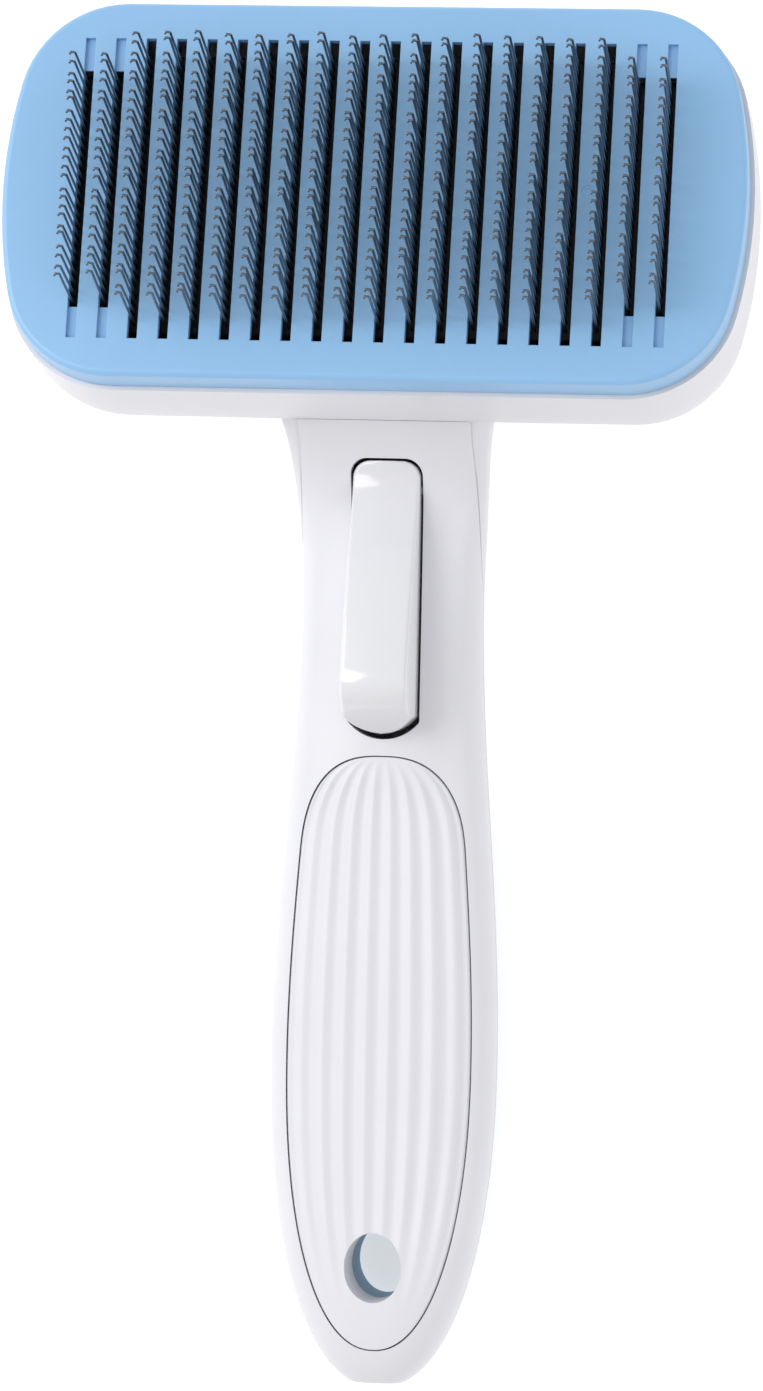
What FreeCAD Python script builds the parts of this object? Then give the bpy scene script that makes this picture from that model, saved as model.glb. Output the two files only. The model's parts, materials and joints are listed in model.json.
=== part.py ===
import FreeCAD, Part
import math
import os

V = FreeCAD.Vector

# The brush lies on its back: +Z is up and is the way the wires point, +Y is the head's end,
# X is the width. The floor is Z = 0 and the origin is the middle of the outline on the floor.
# The head leans on the handle, so everything in it is drawn in the head's own frame (x across,
# y up the face, z out of the face, zero at the middle of the face) and then placed.

DIMENSIONS = {
    # where the head sits, and its lean
    "head_y": 71.2, "head_z": 38.0, "head_lean": 15.3,
    # blue cover
    "face_half_width": 52.0, "face_half_height": 27.1, "face_corner": 15.0, "face_side_radius": 70.0,
    "face_depth": 5.6, "face_skin": 2.0, "face_wall": 1.8, "face_edge_round": 0.9,
    "row_count": 20, "row_pitch": 4.3, "slot_length": 43.5, "slot_width": 1.4,
    "outer_slot_length": 34.4, "blind_depth": 1.2,
    "post_x": 38.7, "post_y": 21.6, "post_radius": 3.2, "post_depth": 21.5, "post_hole_radius": 1.5,
    "post_hole_end": 6.0, "post_boss_wall": 1.2,
    # white housing
    "rim_overhang": 0.6, "rim_depth": 14.0, "back_depth": 35.3, "back_inset": 16.0, "wall": 2.0,
    # handle, measured back from the middle of the face
    "neck_start": 12.0, "neck_clear": 10.0, "neck_clear_from": 31.5, "waist_at": 56.0, "waist_half": 12.9, "belly_at": 122.2, "belly_half": 16.2,
    "tip_at": 169.3, "flare": 1.7, "flare_length": 24.5, "tip_power": 2.2,
    "side_height": 8.8, "top_height": 17.0, "section_power": 2.5,
    "level_from": 28.0, "round_from": 138.0, "back_tuck": 6.0, "back_tuck_at": 48.0,
    "neck_rise": 9.6, "neck_rise_at": 52.0, "neck_top_rise": 8.0, "neck_top_rise_at": 44.0,
    "parting_climb": 0.65, "parting_climb_at": 55.0,
    # trigger and its opening
    "opening_top": 36.8, "opening_bottom": 76.5, "opening_half": 5.15, "opening_corner": 2.4,
    "trigger_gap": 0.35, "trigger_end_room": 0.5, "trigger_hinge_at": 41.2, "trigger_hinge_height": 14.2,
    "trigger_pin_radius": 1.0, "trigger_pin_half": 8.3, "trigger_crest_at": 68.8,
    "trigger_crest_height": 28.6, "trigger_wall": 1.5, "trigger_rib_half": 2.2,
    # rocker
    "rocker_at": 64.0, "rocker_height": 7.2, "rocker_pin_radius": 1.25, "rocker_pin_half": 10.0,
    "rocker_boss_radius": 2.4, "rail_inner": 5.3, "rail_outer": 7.3, "rail_bend_at": 41.5,
    "rail_bend_height": 11.0, "rail_half": 1.2, "pad_at": 55.1, "pad_height": 9.2, "pad_radius": 1.5,
    "rocker_rib_half": 3.0, "rib_inner": 8.95, "fit_gap": 0.05, "part_gap": 0.35,
    # needle carrier
    "cushion_front": 3.2, "cushion_inset": 0.5, "cushion_thick": 2.4, "board_thick": 2.4,
    "board_half_width": 43.0, "board_half_height": 20.8, "notch_x": 34.9, "notch_y": 17.8,
    "yoke_y": 3.0, "yoke_depth": 13.0, "yoke_pin_radius": 1.5, "yoke_pin_half": 12.2,
    "ear_inner": 9.1, "ear_outer": 11.9, "ear_half": 8.0, "ear_depth": 17.0, "ear_slot_half": 5.6,
    # springs
    "spring_x": 24.0, "spring_radius": 3.6, "spring_wire": 0.45, "spring_turns": 6.0,
    "spring_seat": 28.0, "seat_radius": 5.0, "spigot_radius": 2.2, "stud_radius": 1.3, "trigger_spring_at": 70.8, "trigger_spring_radius": 2.1,
    "trigger_spring_turns": 6.0, "trigger_spring_top": 13.4, "trigger_spring_foot": 2.6,
    # wires
    "wire_radius": 0.17, "wire_reach": 12.7, "wire_lean": 0.7, "hook_length": 0.75, "hook_round": 0.36,
    "staple_pitch": 2.78, "staple_width": 1.36, "staples_long": 14, "staples_short": 12,
    "wires_top": 18.6, "wires_top_short": 15.6, "row_stagger": 0.06,
    # grips and hanging hole
    "grip_top": 79.0, "grip_end": 163.3, "grip_margin": 3.1, "grip_thick": 1.3, "grip_gap": 0.2,
    "grip_round": 14.0, "hole_at": 151.5, "hole_half_width": 4.1, "hole_half_length": 5.0,
    "lining_wall": 1.1, "lining_meet": 8.4,
    # screws
    "screw_radius": 1.45, "screw_head_radius": 2.6, "screw_head_height": 1.9, "screw_length": 12.0,
    "screw_seat": 24.5, "handle_screw_near": 92.0, "handle_screw_far": 134.0,
    "handle_boss_radius": 3.2, "handle_screw_seat": 3.4, "handle_screw_length": 10.0,
}

doc = FreeCAD.newDocument("slicker_brush")
sheet = doc.addObject("Spreadsheet::Sheet", "dims")
for row, (alias, value) in enumerate(DIMENSIONS.items(), start=1):
    sheet.set(f"A{row}", alias)
    sheet.set(f"B{row}", str(value))
    sheet.setAlias(f"B{row}", alias)
doc.recompute()


class Dims:
    """Reads a driving dimension from the sheet by its alias."""

    def __getattr__(self, alias):
        return float(sheet.get(alias))


d = Dims()
head_place = FreeCAD.Placement(V(0, d.head_y, d.head_z), FreeCAD.Rotation(V(1, 0, 0), -d.head_lean))
nodes = []


def head_point(x, y, z):
    """A point of the head's frame, in the frame of the whole brush."""
    return head_place.multVec(V(x, y, z))


def behind(distance):
    """The Y of a place on the handle that lies this far behind the middle of the face."""
    return d.head_y - distance


def bind(obj, **expressions):
    """Ties properties of an object to cells of the sheet."""
    for name, expression in expressions.items():
        obj.setExpression(name, expression)


def keep(obj, label):
    """Marks an object as a piece of its own."""
    obj.Label = label
    nodes.append(obj)
    return obj


def shaped(name, shape):
    """A piece whose form comes from Part's own functions."""
    feature = doc.addObject("Part::Feature", name)
    feature.Shape = shape
    return keep(feature, name)


def box(x, y, z):
    """A block between two limits on each axis."""
    block = Part.makeBox(x[1] - x[0], y[1] - y[0], z[1] - z[0], V(x[0], y[0], z[0]))
    return block


def rod(radius, start, end):
    """A round bar between two points."""
    return Part.makeCylinder(radius, (end - start).Length, start, end - start)


def placed(shape, placement=head_place):
    """A copy of a shape drawn in the head's frame, moved to where the head is."""
    moved = shape.copy()
    moved.transformShape(placement.toMatrix(), True)
    return moved


# ---- the outline of the head ----

def outline_edges(half_width, half_height, corner, side_radius, z):
    """The head's outline: straight top and bottom, bowed sides, round corners."""
    side_centre = half_width - side_radius
    corner_y = half_height - corner
    corner_x = side_centre + math.sqrt((side_radius - corner) ** 2 - corner_y ** 2)
    reach = side_radius / (side_radius - corner)
    tangent = V(side_centre + (corner_x - side_centre) * reach, corner_y * reach, z)
    middle = math.atan2(1 + corner_y / (side_radius - corner), (corner_x - side_centre) / (side_radius - corner))
    bulge = V(corner_x + corner * math.cos(middle), corner_y + corner * math.sin(middle), z)
    top = V(corner_x, half_height, z)

    def flip(p, sx, sy):
        return V(p.x * sx, p.y * sy, p.z)

    edges = [
        Part.LineSegment(flip(top, -1, 1), top),
        Part.Arc(top, bulge, tangent),
        Part.Arc(tangent, V(half_width, 0, z), flip(tangent, 1, -1)),
        Part.Arc(flip(tangent, 1, -1), flip(bulge, 1, -1), flip(top, 1, -1)),
        Part.LineSegment(flip(top, 1, -1), flip(top, -1, -1)),
        Part.Arc(flip(top, -1, -1), flip(bulge, -1, -1), flip(tangent, -1, -1)),
        Part.Arc(flip(tangent, -1, -1), V(-half_width, 0, z), flip(tangent, -1, 1)),
        Part.Arc(flip(tangent, -1, 1), flip(bulge, -1, 1), flip(top, -1, 1)),
    ]
    return edges


def face_outline(inset, z=0.0):
    """The blue cover's outline, drawn in by an inset."""
    return outline_edges(d.face_half_width - inset, d.face_half_height - inset,
                         d.face_corner - inset, d.face_side_radius - inset, z)


def housing_section(inset, depth):
    """One closed curve around the housing at a depth behind the face."""
    edges = face_outline(inset - d.rim_overhang, -depth)
    return Part.Wire([edge.toShape() for edge in edges])


def housing_solid(inset, front, back):
    """The housing's form: a straight rim, then sides that turn in to a flat back."""
    turn = back - d.rim_depth
    steps = 7
    wires = [housing_section(inset, front), housing_section(inset, d.rim_depth)]
    for step in range(1, steps + 1):
        angle = step * math.pi / 2 / steps
        drawn_in = inset + (d.back_inset - inset) * (1 - math.cos(angle)) * 0.88
        wires.append(housing_section(drawn_in, d.rim_depth + turn * math.sin(angle)))
    return Part.makeLoft(wires[:2], True, True).fuse(Part.makeLoft(wires[1:], True, True)).removeSplitter()


# ---- the form of the handle ----

def half_width(at):
    """Half the handle's width at a distance behind the face's middle."""
    if at < d.waist_at:
        return d.waist_half + d.flare * ((d.waist_at - at) / d.flare_length) ** 1.6
    if at < d.belly_at:
        swell = (1 - math.cos(math.pi * (at - d.waist_at) / (d.belly_at - d.waist_at))) / 2
        return d.waist_half + (d.belly_half - d.waist_half) * swell
    ratio = min(1.0, (at - d.belly_at) / (d.tip_at - d.belly_at))
    return d.belly_half * (1 - ratio ** d.tip_power) ** (1 / d.tip_power)


def rise(at, start, height, length, power):
    """A smooth rise towards the head, zero behind its start. It is level inside the head."""
    at = max(at, d.level_from)
    return height * (max(0.0, start - at) / length) ** power


def end_round(at):
    """How much of its full thickness the handle has left towards its tip."""
    ratio = min(1.0, max(0.0, (at - d.round_from) / (d.tip_at - d.round_from)))
    return (1 - ratio ** 2.6) ** (1 / 2.6)


def side_height(at):
    """Height of the handle's widest line."""
    return d.side_height + rise(at, d.neck_rise_at, d.neck_rise, 19.2, 1.7)


def top_height(at):
    """Height of the handle's front along its middle."""
    crown = d.side_height + (d.top_height - d.side_height) * end_round(at)
    return crown + rise(at, d.neck_top_rise_at, d.neck_top_rise, 13.6, 1.8)


def back_height(at):
    """Height of the handle's back along its middle."""
    tucked = d.back_tuck * (max(0.0, d.back_tuck_at - at) / (d.back_tuck_at - d.neck_start)) ** 2.2
    return d.side_height * (1 - end_round(at)) + tucked


def parting_share(at):
    """How far up the front half's bow the joint of the halves lies: it climbs along the neck."""
    return rise(at, d.parting_climb_at, d.parting_climb, 25.0, 0.5)


def section_point(at, inset, angle):
    """A point of the handle's rounded section, by its angle from the +X side."""
    wide = half_width(at) - inset
    mid = side_height(at)
    c, s = math.cos(angle), math.sin(angle)
    tall = top_height(at) - inset - mid if s > 0 else mid - back_height(at) - inset
    x = wide * math.copysign(abs(c) ** (2 / d.section_power), c)
    z = mid + tall * math.copysign(abs(s) ** (2 / d.section_power), s)
    return V(x, behind(at), z)


def full_section(at, inset, seam):
    """One closed curve around the handle, starting at an angle."""
    count = 28
    curve = Part.BSplineCurve()
    curve.interpolate([section_point(at, inset, seam + 2 * math.pi * k / count) for k in range(count)],
                      PeriodicFlag=True)
    return Part.Wire([curve.toShape()])


def half_section(at, front, gap):
    """The front or back half of the handle's section, closed along the joint of the halves."""
    above = parting_share(at) + gap / (top_height(at) - side_height(at))
    start = math.asin(above ** (d.section_power / 2))
    end = math.pi - start
    if not front:
        start, end = end, 2 * math.pi + start
    count = 15
    points = [section_point(at, 0, start + (end - start) * k / (count - 1)) for k in range(count)]
    curve = Part.BSplineCurve()
    curve.interpolate(points)
    return Part.Wire([curve.toShape(), Part.makeLine(points[-1], points[0])])


def stations(inset):
    """Places along the handle where its sections stand."""
    along = [d.neck_start, 16, 20, 24, 28, 31, 34, 38, 42, 46, 50, 56, 68, 82, 96, 110, 122, 132, 141, 149]
    along += [155.5, 160.5, 164.2 - inset * 0.4, 166.8 - inset * 0.8]
    return along + ([168.4] if inset == 0 else [])


def handle_solid(inset, seam):
    """The handle's whole form, drawn in by an inset."""
    return Part.makeLoft([full_section(at, inset, seam) for at in stations(inset)], True, False)


def handle_half(front, gap=0.0):
    """The form of one half of the handle."""
    return Part.makeLoft([half_section(at, front, gap) for at in stations(0)], True, False)


# ---- the grips ----

def grip_half(at, gap):
    """Half the width of a grip's outline, grown by a gap."""
    top, end, margin = d.grip_top - gap, d.grip_end + gap, d.grip_margin - gap
    if at >= d.belly_at:
        ratio = min(1.0, (at - d.belly_at) / (end - d.belly_at))
        return (d.belly_half - margin) * (1 - ratio ** d.tip_power) ** (1 / d.tip_power)
    ratio = min(1.0, max(0.0, (top + d.grip_round - at) / d.grip_round))
    return (half_width(at) - margin) * (1 - ratio ** 2.6) ** (1 / 2.6)


def grip_prism(gap):
    """An upright prism over the grip's outline, grown by a gap."""
    right = []
    steps = 26
    for k in range(steps + 1):
        share = (1 - math.cos(math.pi * k / steps)) / 2
        at = d.grip_top - gap + (d.grip_end - d.grip_top + 2 * gap) * share
        right.append(V(grip_half(at, gap), behind(at), -20))
    loop = right + [V(-p.x, p.y, p.z) for p in reversed(right[1:-1])]
    curve = Part.BSplineCurve()
    curve.interpolate(loop, PeriodicFlag=True)
    return Part.Face(Part.Wire([curve.toShape()])).extrude(V(0, 0, 80))


def oval(grow, low, high):
    """The hanging hole as an upright oval bar."""
    ellipse = Part.Ellipse(V(0, behind(d.hole_at), low), d.hole_half_length + grow, d.hole_half_width + grow)
    edge = ellipse.toShape()
    edge.rotate(V(0, behind(d.hole_at), low), V(0, 0, 1), 90)
    return Part.Face(Part.Wire([edge])).extrude(V(0, 0, high - low))


BACK, FRONT = -math.pi / 2, math.pi / 2
front_half = handle_half(True, d.fit_gap)
back_half = handle_half(False)
handle_form = handle_solid(0, BACK)
inside_seam_back = handle_solid(d.wall, BACK)
inside_seam_front = handle_solid(d.wall, FRONT)
front_seat = handle_solid(d.grip_thick + d.grip_gap, BACK)
back_seat = handle_solid(d.grip_thick + d.grip_gap, FRONT)
front_under = handle_solid(d.grip_thick, BACK)
back_under = handle_solid(d.grip_thick, FRONT)
housing_outer = placed(housing_solid(0.0, d.face_depth + 0.1, d.back_depth))
housing_inner = placed(housing_solid(d.wall, d.face_depth - 2.0, d.back_depth - d.wall))
prism_gap = grip_prism(d.grip_gap)
prism = grip_prism(0)
upper_half = box((-40, 40), (behind(200), behind(0)), (d.side_height, 90))
lower_half = box((-40, 40), (behind(200), behind(0)), (-20, d.side_height))
hole_seat = oval(d.lining_wall + d.grip_gap, -5, 40)
hole_clear = oval(0, -5, 40)


# ---- blue cover ----

def sketch_on(body, name, geometry, plane="XY_Plane", offset=None):
    """A sketch on one of a body's own planes, at an offset along its normal."""
    sketch = body.newObject("Sketcher::SketchObject", name)
    origin = [f for f in body.Origin.OriginFeatures if f.Role == plane][0]
    sketch.AttachmentSupport = [(origin, "")]
    sketch.MapMode = "FlatFace"
    if offset:
        sketch.setExpression("AttachmentOffset.Base.z", offset)
    sketch.addGeometry(geometry, False)
    return sketch


def pad(body, name, sketch, length, reverse=False):
    """A pad whose length is an expression of the sheet."""
    feature = body.newObject("PartDesign::Pad", name)
    feature.Profile = sketch
    feature.Reversed = reverse
    feature.setExpression("Length", length)
    return feature


def pocket(body, name, sketch, length, reverse=False):
    """A pocket whose depth is an expression of the sheet."""
    feature = body.newObject("PartDesign::Pocket", name)
    feature.Profile = sketch
    feature.Reversed = reverse
    feature.setExpression("Length", length)
    return feature


def rectangle(x, y):
    """Four lines of a closed rectangle."""
    corners = [V(x[0], y[0], 0), V(x[1], y[0], 0), V(x[1], y[1], 0), V(x[0], y[1], 0)]
    return [Part.LineSegment(corners[k], corners[(k + 1) % 4]) for k in range(4)]


def row_places():
    """The x of every row of wires, left to right."""
    count = int(d.row_count)
    return [(k - (count - 1) / 2) * d.row_pitch for k in range(count)]


def circles(places, radius):
    return [Part.Circle(V(x, y, 0), V(0, 0, 1), radius) for x, y in places]


def corner_places():
    """Where the four posts stand."""
    return [(sx * d.post_x, sy * d.post_y) for sx in (-1, 1) for sy in (-1, 1)]


cover = doc.addObject("PartDesign::Body", "cover")
cover_outline = sketch_on(cover, "cover_outline", face_outline(0))
cover_pad = pad(cover, "cover_pad", cover_outline, "dims.face_depth", reverse=True)
cover_inside = sketch_on(cover, "cover_inside", face_outline(d.face_wall), offset="-dims.face_depth")
cover_hollow = pocket(cover, "cover_hollow", cover_inside, "dims.face_depth - dims.face_skin",
                      reverse=True)
doc.recompute()
front_edges = []
for index, edge in enumerate(cover.Shape.Edges, start=1):
    if abs(edge.BoundBox.ZMin) < 1e-4 and abs(edge.BoundBox.ZMax) < 1e-4:
        front_edges.append(f"Edge{index}")
cover_round = cover.newObject("PartDesign::Fillet", "cover_round")
cover_round.Base = (cover_hollow, front_edges)
bind(cover_round, Radius="dims.face_edge_round")
posts = sketch_on(cover, "posts", circles(corner_places(), d.post_radius), offset="-dims.face_skin")
pad(cover, "post_pad", posts, "dims.post_depth - dims.face_skin", reverse=True)
post_holes = sketch_on(cover, "post_holes", circles(corner_places(), d.post_hole_radius),
                       offset="-dims.post_depth")
pocket(cover, "post_hole_pocket", post_holes, "dims.post_depth - dims.post_hole_end", reverse=True)
slots = []
blind = []
for number, x in enumerate(row_places(), start=1):
    wide = (x - d.slot_width / 2, x + d.slot_width / 2)
    outer = number in (1, 2, int(d.row_count) - 1, int(d.row_count))
    reach = (d.outer_slot_length if outer else d.slot_length) / 2
    slots += rectangle(wide, (-reach, reach))
    if outer:
        blind += rectangle(wide, (reach, d.slot_length / 2)) + rectangle(wide, (-d.slot_length / 2, -reach))
slot_sketch = sketch_on(cover, "slots", slots)
pocket(cover, "slot_pocket", slot_sketch, "dims.face_skin")
blind_sketch = sketch_on(cover, "blind_ends", blind)
pocket(cover, "blind_pocket", blind_sketch, "dims.blind_depth")
cover.Placement = head_place
keep(cover, "face_plate")


# ---- moving carrier: board, cushion ----

def notched(x, y, notch_x, notch_y):
    """A rectangle with its four corners cut out square."""
    quarter = [V(notch_x, y, 0), V(notch_x, notch_y, 0), V(x, notch_y, 0)]
    loop = quarter + [V(p.x, -p.y, 0) for p in reversed(quarter)]
    loop += [V(-p.x, -p.y, 0) for p in quarter] + [V(-p.x, p.y, 0) for p in reversed(quarter)]
    return [Part.LineSegment(a, b) for a, b in zip(loop, loop[1:] + loop[:1])]


board = doc.addObject("PartDesign::Body", "board")
board_front = "-(dims.cushion_front + dims.cushion_thick)"
board_back = "-(dims.cushion_front + dims.cushion_thick + dims.board_thick)"
board_sketch = sketch_on(board, "board_outline",
                         notched(d.board_half_width, d.board_half_height, d.notch_x, d.notch_y),
                         offset=board_front)
pad(board, "board_pad", board_sketch, "dims.board_thick", reverse=True)
ears = []
for side in (-1, 1):
    span = sorted((side * d.ear_inner, side * d.ear_outer))
    ears += rectangle(span, (-d.ear_half, d.ear_half))
ear_sketch = sketch_on(board, "ears", ears, offset=board_back)
ear_length = "dims.ear_depth - dims.cushion_front - dims.cushion_thick - dims.board_thick"
pad(board, "ear_pad", ear_sketch, ear_length, reverse=True)
slot_half = d.yoke_pin_radius + d.part_gap
slot_loop = rectangle((-d.ear_slot_half, d.ear_slot_half), (-d.yoke_depth - slot_half, -d.yoke_depth + slot_half))
ear_slots = sketch_on(board, "ear_slots", slot_loop, plane="YZ_Plane")
slot_cut = pocket(board, "ear_slot_pocket", ear_slots, "2 * dims.ear_outer + 2")
slot_cut.Midplane = True
spring_pins = sketch_on(board, "spring_spigots", circles([(-d.spring_x, 0), (d.spring_x, 0)], d.spigot_radius),
                        offset=board_back)
pad(board, "spigot_pad", spring_pins, "2.5", reverse=True)
board.Placement = head_place
keep(board, "needle_board")

cushion = doc.addObject("PartDesign::Body", "pad_body")
cushion_sketch = sketch_on(cushion, "cushion_outline",
                           notched(d.board_half_width - d.cushion_inset, d.board_half_height - d.cushion_inset,
                                   d.notch_x - d.cushion_inset, d.notch_y - d.cushion_inset),
                           offset="-dims.cushion_front")
pad(cushion, "cushion_pad", cushion_sketch, "dims.cushion_thick", reverse=True)
cushion.Placement = head_place
keep(cushion, "cushion")


# ---- wires ----

def staple():
    """One wire staple: a crown behind the cushion and two hooked legs, its top leg at y = 0."""
    root = -(d.cushion_front + d.cushion_thick)
    foot_x = -d.wire_lean / 2
    slope = d.wire_lean / d.wire_reach
    crown_x = foot_x + root * slope
    bend = d.hook_round
    top = V(d.wire_lean / 2, 0, d.wire_reach - d.wire_radius - bend)
    turn = math.radians(80)
    over = V(top.x - bend * (1 - math.cos(turn)), 0, top.z + bend * math.sin(turn))
    knee = V(top.x - bend * (1 - math.cos(turn / 2)), 0, top.z + bend * math.sin(turn / 2))
    left = d.hook_length - (top.x - over.x)
    end = over + V(-left * math.sin(turn), 0, left * math.cos(turn))
    low = V(crown_x, 0, root + d.wire_radius)
    leg = [Part.makeLine(low, top), Part.Arc(top, knee, over).toShape(), Part.makeLine(over, end)]
    section = Part.Wire([Part.Circle(low, top - low, d.wire_radius).toShape()])
    pipe = Part.Wire(leg).makePipeShell([section], True, True)
    crown = Part.makeCylinder(d.wire_radius, d.staple_width, low, V(0, -1, 0))
    other = pipe.copy()
    other.translate(V(0, -d.staple_width, 0))
    ends = [Part.makeSphere(d.wire_radius, p) for p in (low, low + V(0, -d.staple_width, 0))]
    return pipe.multiFuse([crown, other] + ends)


one_staple = staple()
for number, x in enumerate(row_places(), start=1):
    outer = number in (1, 2, int(d.row_count) - 1, int(d.row_count))
    count = int(d.staples_short if outer else d.staples_long)
    top_y = d.wires_top_short if outer else d.wires_top
    side = -1 if number % 2 else 1
    wires = []
    for k in range(count):
        wire = one_staple.copy()
        wire.translate(V(x + side * d.row_stagger, top_y - k * d.staple_pitch, 0))
        wires.append(wire)
    row_shape = placed(Part.makeCompound(wires))
    shaped(f"needle_row_{number:02d}", row_shape)


# ---- housing and handle ----

def post_bar(radius, near, far):
    """Bars on the axes of the four posts, between two depths."""
    bars = [rod(radius, V(x, y, -near), V(x, y, -far)) for x, y in corner_places()]
    return placed(Part.makeCompound(bars))


def seat_bar(near, far, radius):
    """Bars on the axes of the two return springs."""
    bars = [rod(radius, V(side * d.spring_x, 0, -near), V(side * d.spring_x, 0, -far)) for side in (-1, 1)]
    return placed(Part.makeCompound(bars))


def handle_screw_bar(radius, low, high):
    """Bars on the axes of the screws that join the handle halves."""
    bars = [rod(radius, V(0, behind(at), low), V(0, behind(at), high))
            for at in (d.handle_screw_near, d.handle_screw_far)]
    return Part.makeCompound(bars)


rocker_axis = V(0, behind(d.rocker_at), d.rocker_height)
trigger_axis = V(0, behind(d.trigger_hinge_at), d.trigger_hinge_height)

rear = back_half.fuse(housing_outer)
rear = rear.cut(housing_inner).cut(inside_seam_front)
rear = rear.cut(box((-d.neck_clear, d.neck_clear), (behind(60), behind(d.neck_clear_from)), (12.5, 30)))
bosses = [post_bar(d.post_radius + d.post_boss_wall, d.post_depth + 0.3, 60).common(housing_outer),
          seat_bar(d.spring_seat, 60, d.seat_radius).common(housing_outer),
          handle_screw_bar(d.handle_boss_radius, 0, d.side_height - 0.1).common(back_half)]
for side in (-1, 1):
    span = sorted((side * d.rib_inner, side * 14))
    along = (rocker_axis.y - d.rocker_rib_half, rocker_axis.y + d.rocker_rib_half)
    rib = box(span, along, (0, d.rocker_height + d.rocker_rib_half))
    bosses.append(rib.common(back_half))
bosses.append(rod(d.stud_radius, V(0, behind(d.trigger_spring_at), 0.8), V(0, behind(d.trigger_spring_at), 5)))
rear = rear.multiFuse(bosses)
rear = rear.cut(post_bar(d.screw_radius + 0.1, d.post_depth, 60))
rear = rear.cut(post_bar(d.screw_head_radius + 0.4, d.screw_seat, 60))
rear = rear.cut(rod(d.rocker_pin_radius + d.fit_gap, rocker_axis - V(d.rocker_pin_half + 0.1, 0, 0),
                    rocker_axis + V(d.rocker_pin_half + 0.1, 0, 0)))
rear = rear.cut(prism_gap.common(lower_half).cut(back_seat))
rear = rear.cut(hole_seat)
rear = rear.cut(handle_screw_bar(d.screw_radius + 0.1, 0, 20))
rear = rear.cut(handle_screw_bar(d.screw_head_radius + 0.3, -1, d.handle_screw_seat))
shaped("rear_shell", rear)


def opening_prism(grow):
    """The trigger's opening as an upright prism: square top with small corners, bowed bottom."""
    half = d.opening_half - grow
    top = behind(d.opening_top + grow)
    low = behind(d.opening_bottom - grow)
    shoulder = low + 2.5
    corner = d.opening_corner
    cut = corner * (1 - math.sqrt(0.5))
    points = {"a": V(-half, shoulder, -20), "b": V(-half, top - corner, -20),
              "c": V(-half + corner, top, -20), "e": V(half - corner, top, -20),
              "f": V(half, top - corner, -20), "g": V(half, shoulder, -20)}
    edges = [
        Part.makeLine(points["a"], points["b"]),
        Part.Arc(points["b"], V(-half + cut, top - cut, -20), points["c"]).toShape(),
        Part.makeLine(points["c"], points["e"]),
        Part.Arc(points["e"], V(half - cut, top - cut, -20), points["f"]).toShape(),
        Part.makeLine(points["f"], points["g"]),
        Part.Arc(points["g"], V(0, low, -20), points["a"]).toShape(),
    ]
    return Part.Face(Part.Wire(edges)).extrude(V(0, 0, 80))


def yz_prism(points, half):
    """A prism across the handle over a loop of (distance behind the face, height) points."""
    loop = [V(-half, behind(at), z) for at, z in points]
    wire = Part.makePolygon(loop + loop[:1])
    return Part.Face(wire).extrude(V(2 * half, 0, 0))


trigger_way = opening_prism(0)
front = front_half.cut(inside_seam_back)
front_bosses = [handle_screw_bar(d.handle_boss_radius, d.side_height + 0.1, 40).common(front_half)]
rib_near, rib_far = d.trigger_hinge_at - d.trigger_rib_half, d.trigger_hinge_at + d.trigger_rib_half
rib_foot = trigger_axis.z - 1.55
pin_rib = yz_prism([(rib_near, 40), (rib_near, rib_foot + 1.3), (d.trigger_hinge_at + 0.4, rib_foot),
                    (rib_far, rib_foot), (rib_far, 40)], 20)
for side in (-1, 1):
    span = sorted((side * (d.opening_half + 0.25), side * (d.rib_inner - d.fit_gap)))
    rib = box(span, (behind(50), behind(30)), (0, 60)).common(pin_rib)
    front_bosses.append(rib.common(handle_form))
front = front.multiFuse(front_bosses)
front = front.cut(rod(d.trigger_pin_radius + d.fit_gap, trigger_axis - V(d.trigger_pin_half + 0.1, 0, 0),
                      trigger_axis + V(d.trigger_pin_half + 0.1, 0, 0)))
front = front.cut(housing_outer).cut(housing_inner)
front = front.cut(trigger_way)
front = front.cut(prism_gap.common(upper_half).cut(front_seat))
front = front.cut(hole_seat)
front = front.cut(handle_screw_bar(d.screw_radius + d.fit_gap, 0, 14.2))
front = max(front.Solids, key=lambda solid: solid.Volume)
shaped("front_shell", front)

front_grip = front_half.common(prism.common(upper_half)).cut(front_under)
front_grip = front_grip.fuse(oval(d.lining_wall, d.lining_meet + 0.1, 16.0)).cut(hole_clear)
shaped("front_grip", front_grip.removeSplitter())

rear_grip = prism.common(lower_half).cut(back_under).common(back_half)
rear_grip = rear_grip.fuse(oval(d.lining_wall, 1.0, d.lining_meet)).cut(hole_clear)
shaped("rear_grip", rear_grip.removeSplitter())


# ---- trigger, rocker and their pins ----

crest, hinge = d.trigger_crest_at, d.trigger_hinge_at
crest_z = d.trigger_crest_height
trigger_side = [(36, 20.4), (39, 18.8), (hinge, 18.9), (45, 20.4), (51, 23.0), (60, 26.2), (crest, crest_z),
                (71.4, 27.3), (73.6, 24.4), (75.2, 20.6), (76.2, 17.0), (76.2, 12.8), (66, 14.2), (52, 13.7),
                (44, 12.2), (hinge - 1.5, 12.2), (36, 16.0)]
end_room = opening_prism(d.trigger_gap)
end_room.translate(V(0, d.trigger_end_room, 0))
trigger_block = yz_prism(trigger_side, 9).common(opening_prism(d.trigger_gap)).common(end_room)
hollow = yz_prism([(46, 18.4), (51, 20.8), (60, 24.0), (crest, crest_z - 2.4), (71, 24.6), (73.8, 18.0),
                   (73.8, 8), (46, 8)], d.opening_half - d.trigger_gap - d.trigger_wall)
trigger = trigger_block.cut(hollow)
pusher_low = d.pad_height + d.pad_radius + 0.3
pusher = box((-1.2, 1.2), (behind(56.6), behind(53.6)), (pusher_low, 24.0))
spring_stud = rod(d.stud_radius, V(0, behind(d.trigger_spring_at), d.trigger_spring_top - 1.6),
                  V(0, behind(d.trigger_spring_at), d.trigger_spring_top))
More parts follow.
